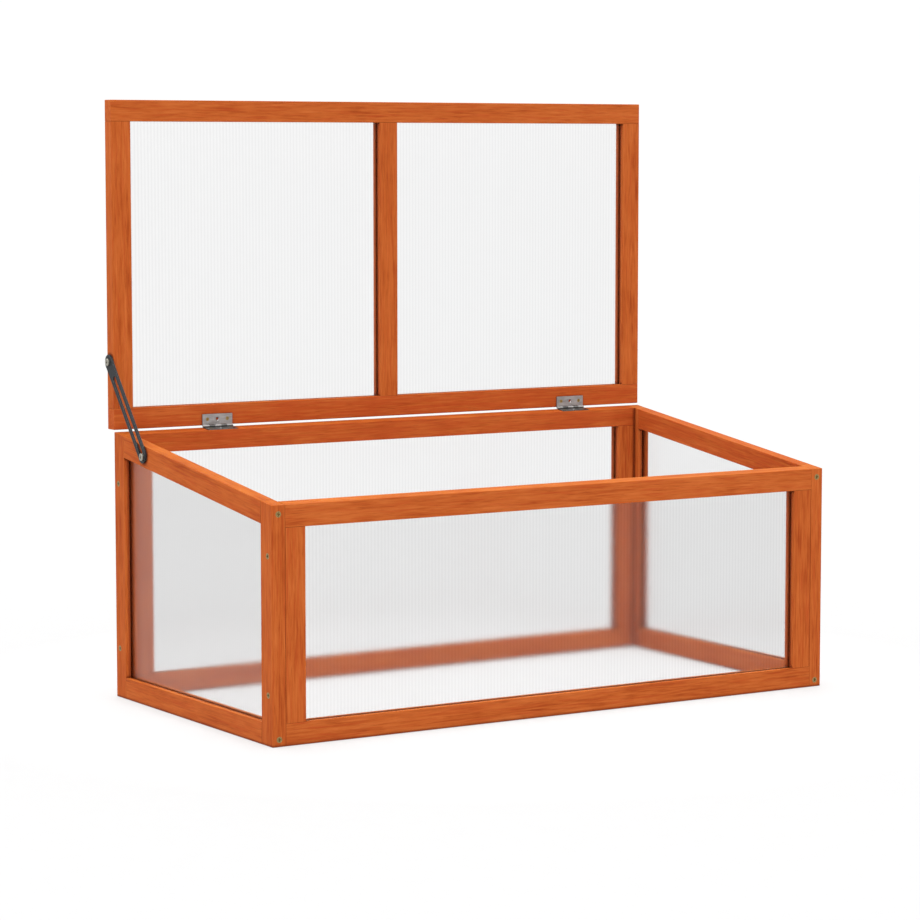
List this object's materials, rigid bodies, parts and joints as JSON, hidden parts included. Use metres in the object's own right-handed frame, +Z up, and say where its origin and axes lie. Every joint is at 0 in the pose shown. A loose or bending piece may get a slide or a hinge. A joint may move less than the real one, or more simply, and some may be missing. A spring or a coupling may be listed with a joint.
{
  "type": "cold frame",
  "caption": "Low bottomless wooden box with a sloping top, glazed with ribbed translucent panes, and a glazed lid hinged at the rear and held upright by a slotted stay.",
  "frame": {"origin": "on the ground, under the middle of the front bottom rail", "axes": "+X to the right seen from the front, +Y to the rear, +Z up; the lid is open and upright at rest"},
  "size_m": [0.906, 0.4805, 0.8408],
  "materials": {
    "stained_wood": "orange-brown stained softwood with fine grain, satin",
    "pane": "translucent twin-wall polycarbonate with fine upright flutes",
    "dowel": "plain turned hardwood",
    "brass_screw": "yellow zinc-plated, satin",
    "hinge_steel": "stamped zinc-plated steel, satin",
    "stay_coating": "dark slate grey powder coat",
    "zinc_hardware": "bright zinc plate"
  },
  "bodies": {
    "base": {"front_bottom_rail": "stained_wood", "front_top_rail": "stained_wood", "front_left_stile": "stained_wood", "front_right_stile": "stained_wood", "front_pane": "pane", "front_frame_dowels": "dowel", "rear_bottom_rail": "stained_wood", "rear_top_rail": "stained_wood", "rear_left_stile": "stained_wood", "rear_right_stile": "stained_wood", "rear_pane": "pane", "rear_frame_dowels": "dowel", "left_front_stile": "stained_wood", "left_rear_stile": "stained_wood", "left_bottom_rail": "stained_wood", "left_top_rail": "stained_wood", "left_pane": "pane", "hinge_base_leaf_left": "hinge_steel", "hinge_pin_left": "hinge_steel", "right_front_stile": "stained_wood", "right_rear_stile": "stained_wood", "right_bottom_rail": "stained_wood", "right_top_rail": "stained_wood", "right_pane": "pane", "hinge_base_leaf_right": "hinge_steel", "hinge_pin_right": "hinge_steel", "side_frame_screws": "brass_screw", "corner_screws": "brass_screw", "hinge_base_screws": "brass_screw", "stay_lower_screw": "zinc_hardware", "stay_lower_washer": "zinc_hardware"},
    "lid": {"lid_rear_rail": "stained_wood", "lid_front_rail": "stained_wood", "lid_left_stile": "stained_wood", "lid_right_stile": "stained_wood", "lid_mullion": "stained_wood", "lid_left_pane": "pane", "lid_right_pane": "pane", "lid_dowels": "dowel", "hinge_lid_leaf_left": "hinge_steel", "hinge_lid_leaf_right": "hinge_steel", "hinge_lid_screws": "brass_screw", "stay_upper_screw": "zinc_hardware", "stay_upper_washer": "zinc_hardware"},
    "stay": {"stay_arm": "stay_coating"}
  },
  "joints": [
    {"name": "lid_hinge", "type": "hinge", "parent": "base", "child": "lid", "pos_m": [0, 0.44795, 0.3778], "axis": [1, 0, 0], "range_deg": [0, 97.9]},
    {"name": "stay_pivot", "type": "hinge", "parent": "lid", "child": "stay", "pos_m": [-0.452, 0.46, 0.47405], "axis": [1, 0, 0], "range_deg": [-49, 0]}
  ],
  "couplings": [
    {"joint": "stay_pivot", "follows": "lid_hinge", "ratio": -0.5}
  ]
}
